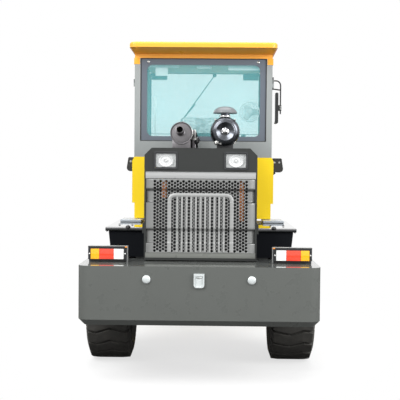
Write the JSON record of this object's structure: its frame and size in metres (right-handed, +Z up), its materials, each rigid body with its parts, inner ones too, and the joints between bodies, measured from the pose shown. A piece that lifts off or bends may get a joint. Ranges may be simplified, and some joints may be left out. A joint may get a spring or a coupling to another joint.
{
  "type": "compact wheel loader",
  "caption": "Compact articulated wheel loader with a glazed cab, bucket on a bell-crank linkage, rear hood with a perforated grille, and a broad counterweight.",
  "frame": {"origin": "on the ground under the middle of the whole machine's box, at rest with the bucket flat on the ground", "axes": "+X to the machine's right, +Y to its front, +Z up"},
  "size_m": [1.96, 5.594, 2.802],
  "materials": {
    "yellow_paint": "gloss",
    "grey_paint": "satin",
    "dark_paint": "satin",
    "black_paint": "gloss",
    "charcoal_paint": "satin",
    "counterweight_paint": "gloss",
    "silver_paint": "satin",
    "engine_iron": "matte",
    "bright_plate": "satin",
    "muffler_steel": "satin",
    "cleaner_paint": "gloss",
    "chrome_rod": "polished",
    "lamp_plastic": "gloss",
    "lamp_glass": "clear",
    "window_glass": "clear",
    "seat_fabric": "matte",
    "black_plastic": "matte",
    "white_plastic": "satin",
    "tyre_rubber": "matte",
    "rim_paint": "gloss"
  },
  "bodies": {
    "rear_frame": {"rear_chassis": "dark_paint", "rear_axle": "dark_paint", "engine": "engine_iron", "radiator": "dark_paint", "counterweight": "counterweight_paint", "hitch_plate": "bright_plate", "tail_lamps": "lamp_plastic", "hood": "charcoal_paint", "grille": "silver_paint", "work_lamps": "lamp_glass", "muffler": "muffler_steel", "air_cleaner": "cleaner_paint", "rear_fenders": "black_paint", "side_tanks": "charcoal_paint", "cab_steps": "black_paint", "cab_base": "yellow_paint", "cab_frame": "grey_paint", "cab_roof": "yellow_paint", "rear_window": "window_glass", "windshield": "window_glass", "quarter_windows": "window_glass", "seat_base": "black_plastic", "seat_cushion": "seat_fabric", "seat_back": "seat_fabric", "steering_column": "black_plastic", "control_levers": "black_plastic", "roof_lamps": "lamp_plastic", "cab_fan": "white_plastic", "mirror": "black_plastic"},
    "front_frame": {"front_chassis": "yellow_paint", "front_axle": "dark_paint", "front_fenders": "black_paint", "head_lamps": "lamp_plastic"},
    "boom": {"boom": "yellow_paint"},
    "bell_crank": {"bell_crank": "yellow_paint"},
    "bucket_link": {"bucket_link": "yellow_paint"},
    "bucket": {"bucket": "yellow_paint"},
    "lift_barrels": {"lift_barrels": "yellow_paint"},
    "lift_rods": {"lift_rods": "chrome_rod"},
    "tilt_barrel": {"tilt_barrel": "yellow_paint"},
    "tilt_rod": {"tilt_rod": "chrome_rod"},
    "steer_barrel_left": {"steer_barrel_left": "yellow_paint"},
    "steer_rod_left": {"steer_rod_left": "chrome_rod"},
    "door_left": {"door_left": "yellow_paint", "door_left_glass": "window_glass"},
    "wheel_front_left": {"tyre_front_left": "tyre_rubber", "rim_front_left": "rim_paint"},
    "wheel_rear_left": {"tyre_rear_left": "tyre_rubber", "rim_rear_left": "rim_paint"},
    "steer_barrel_right": {"steer_barrel_right": "yellow_paint"},
    "steer_rod_right": {"steer_rod_right": "chrome_rod"},
    "door_right": {"door_right": "yellow_paint", "door_right_glass": "window_glass"},
    "wheel_front_right": {"tyre_front_right": "tyre_rubber", "rim_front_right": "rim_paint"},
    "wheel_rear_right": {"tyre_rear_right": "tyre_rubber", "rim_rear_right": "rim_paint"}
  },
  "joints": [
    {"name": "articulation", "type": "hinge", "parent": "rear_frame", "child": "front_frame", "pos_m": [0, -0.333, 0.7], "axis": [0, 0, 1], "range_deg": [-35, 35]},
    {"name": "boom_lift", "type": "hinge", "parent": "front_frame", "child": "boom", "pos_m": [0, 0.537, 1.48], "axis": [1, 0, 0], "range_deg": [0, 75]},
    {"name": "bucket_tilt", "type": "hinge", "parent": "boom", "child": "bucket", "pos_m": [0, 1.997, 0.23], "axis": [-1, 0, 0], "range_deg": [-35, 115]},
    {"name": "bell_crank_pivot", "type": "hinge", "parent": "boom", "child": "bell_crank", "pos_m": [0, 1.53615, 0.76806], "axis": [1, 0, 0], "range_deg": [-6.87, 22.56]},
    {"name": "link_pivot", "type": "hinge", "parent": "bucket", "child": "bucket_link", "pos_m": [0, 2.0357, 0.37544], "axis": [1, 0, 0], "range_deg": [-30.48, 100.13]},
    {"name": "tilt_barrel_pivot", "type": "hinge", "parent": "front_frame", "child": "tilt_barrel", "pos_m": [0, 0.537, 1.48], "axis": [1, 0, 0], "range_deg": [-0.01, 75.01]},
    {"name": "tilt_rod_slide", "type": "slide", "parent": "tilt_barrel", "child": "tilt_rod", "axis": [0, 0.9387, -0.3447], "range_m": [-0.12942, 0.04009]},
    {"name": "lift_barrel_pivot", "type": "hinge", "parent": "front_frame", "child": "lift_barrels", "pos_m": [0, 0.217, 0.43], "axis": [1, 0, 0], "range_deg": [-0.01, 9.06]},
    {"name": "lift_rod_slide", "type": "slide", "parent": "lift_barrels", "child": "lift_rods", "axis": [0, 0.7004, 0.7138], "range_m": [-0.001, 0.60787]},
    {"name": "steer_barrel_left_pivot", "type": "hinge", "parent": "rear_frame", "child": "steer_barrel_left", "pos_m": [-0.22, -0.773, 0.725], "axis": [0, 0, 1], "range_deg": [-11.04, 11.04]},
    {"name": "steer_rod_left_slide", "type": "slide", "parent": "steer_barrel_left", "child": "steer_rod_left", "axis": [-0.0468, 0.9989, 0], "range_m": [-0.1447, 0.1447]},
    {"name": "steer_barrel_right_pivot", "type": "hinge", "parent": "rear_frame", "child": "steer_barrel_right", "pos_m": [0.22, -0.773, 0.725], "axis": [0, 0, 1], "range_deg": [-11.04, 11.04]},
    {"name": "steer_rod_right_slide", "type": "slide", "parent": "steer_barrel_right", "child": "steer_rod_right", "axis": [0.0468, 0.9989, 0], "range_m": [-0.1447, 0.1447]},
    {"name": "wheel_front_left_spin", "type": "hinge", "parent": "front_frame", "child": "wheel_front_left", "pos_m": [-0.78, 0.867, 0.485], "axis": [1, 0, 0], "continuous": true},
    {"name": "wheel_front_right_spin", "type": "hinge", "parent": "front_frame", "child": "wheel_front_right", "pos_m": [0.78, 0.867, 0.485], "axis": [1, 0, 0], "continuous": true},
    {"name": "wheel_rear_left_spin", "type": "hinge", "parent": "rear_frame", "child": "wheel_rear_left", "pos_m": [-0.78, -1.533, 0.485], "axis": [1, 0, 0], "continuous": true},
    {"name": "wheel_rear_right_spin", "type": "hinge", "parent": "rear_frame", "child": "wheel_rear_right", "pos_m": [0.78, -1.533, 0.485], "axis": [1, 0, 0], "continuous": true},
    {"name": "door_left_hinge", "type": "hinge", "parent": "rear_frame", "child": "door_left", "pos_m": [-0.644, -0.995, 1.95], "axis": [0, 0, 1], "range_deg": [0, 80]},
    {"name": "door_right_hinge", "type": "hinge", "parent": "rear_frame", "child": "door_right", "pos_m": [0.644, -0.995, 1.95], "axis": [0, 0, -1], "range_deg": [0, 80]}
  ],
  "couplings": [
    {"joint": "bell_crank_pivot", "follows": "bucket_tilt", "ratio": 0.19605},
    {"joint": "link_pivot", "follows": "bucket_tilt", "ratio": 0.87059},
    {"joint": "tilt_barrel_pivot", "follows": "boom_lift", "ratio": 1},
    {"joint": "tilt_rod_slide", "follows": "bucket_tilt", "m_per_rad": -0.063983},
    {"joint": "lift_barrel_pivot", "follows": "boom_lift", "ratio": 0.1207},
    {"joint": "lift_rod_slide", "follows": "boom_lift", "m_per_rad": 0.46362},
    {"joint": "steer_barrel_left_pivot", "follows": "articulation", "ratio": 0.31509},
    {"joint": "steer_rod_left_slide", "follows": "articulation", "m_per_rad": -0.23524},
    {"joint": "steer_barrel_right_pivot", "follows": "articulation", "ratio": 0.31509},
    {"joint": "steer_rod_right_slide", "follows": "articulation", "m_per_rad": 0.23524}
  ]
}
